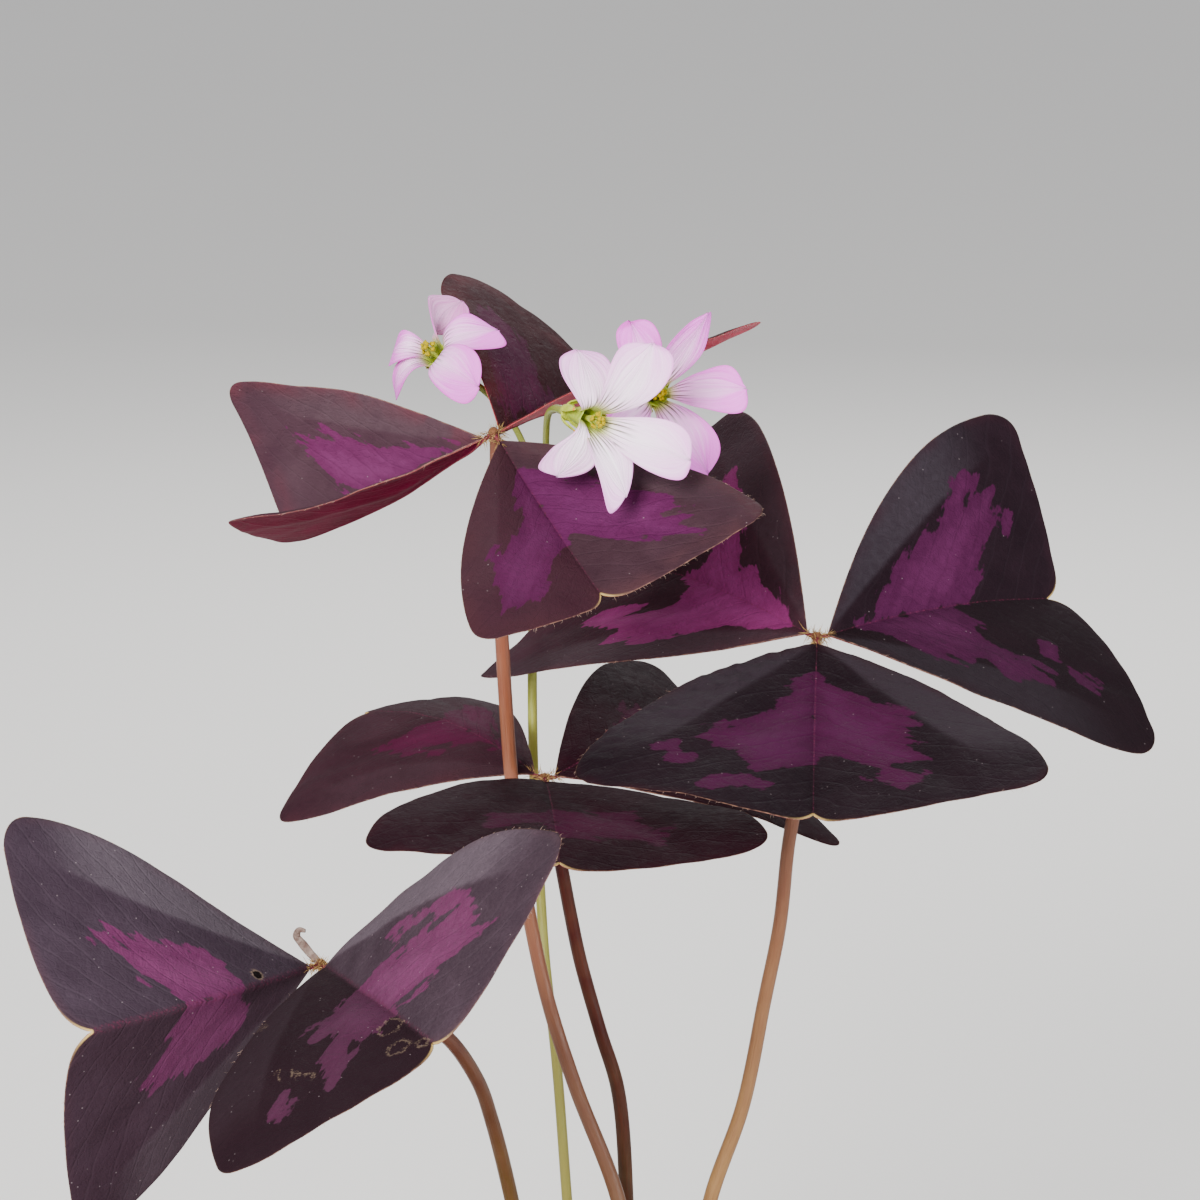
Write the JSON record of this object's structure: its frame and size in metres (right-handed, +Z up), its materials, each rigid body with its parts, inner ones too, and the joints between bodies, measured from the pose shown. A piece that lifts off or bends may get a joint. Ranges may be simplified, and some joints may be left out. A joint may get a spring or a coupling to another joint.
{
  "type": "potted purple shamrock",
  "caption": "Flowering house plant with folded triangular dark purple leaflets, slender petioles and a stalk of pale pink-white flowers, in a plain round pot of soil.",
  "frame": {"origin": "centre of the pot's underside, where it rests", "axes": "+Z up along the pot's axis; -Y is the plant's front; +X is to the right seen from the front"},
  "size_m": [0.145, 0.1287, 0.237],
  "materials": {
    "terracotta": "matt unglazed terracotta",
    "soil": "dark crumbly potting soil",
    "petiole": "smooth pinkish tan leaf stalk",
    "stalk": "smooth yellow-green flower stalk",
    "leaf": "matt dark purple leaf with a magenta flame, crimson underneath",
    "withered": "dry curled brown leaf",
    "petals": "soft white petal with a pink blush",
    "sepals": "matt olive-green sepal",
    "anthers": "matt yellow-green stamens"
  },
  "bodies": {
    "root": {"pot": "terracotta", "soil": "soil", "flower_stalk": "stalk", "leaf_low_withered_leaflet": "withered", "leaf_top_petiole": "petiole", "leaf_top_leaflet_left": "leaf", "leaf_top_leaflet_front": "leaf", "leaf_top_leaflet_back": "leaf", "leaf_right_petiole": "petiole", "leaf_right_leaflet_back": "leaf", "leaf_right_leaflet_side": "leaf", "leaf_right_leaflet_front": "leaf", "leaf_middle_petiole": "petiole", "leaf_middle_leaflet_left": "leaf", "leaf_middle_leaflet_back": "leaf", "leaf_middle_leaflet_front": "leaf", "leaf_low_petiole": "petiole", "leaf_low_leaflet_left": "leaf", "leaf_low_leaflet_front": "leaf", "flower_left_calyx": "sepals", "flower_left_corolla": "petals", "flower_left_stamens": "anthers", "flower_middle_calyx": "sepals", "flower_middle_corolla": "petals", "flower_middle_stamens": "anthers", "flower_right_calyx": "sepals", "flower_right_corolla": "petals", "flower_right_stamens": "anthers"}
  },
  "joints": []
}
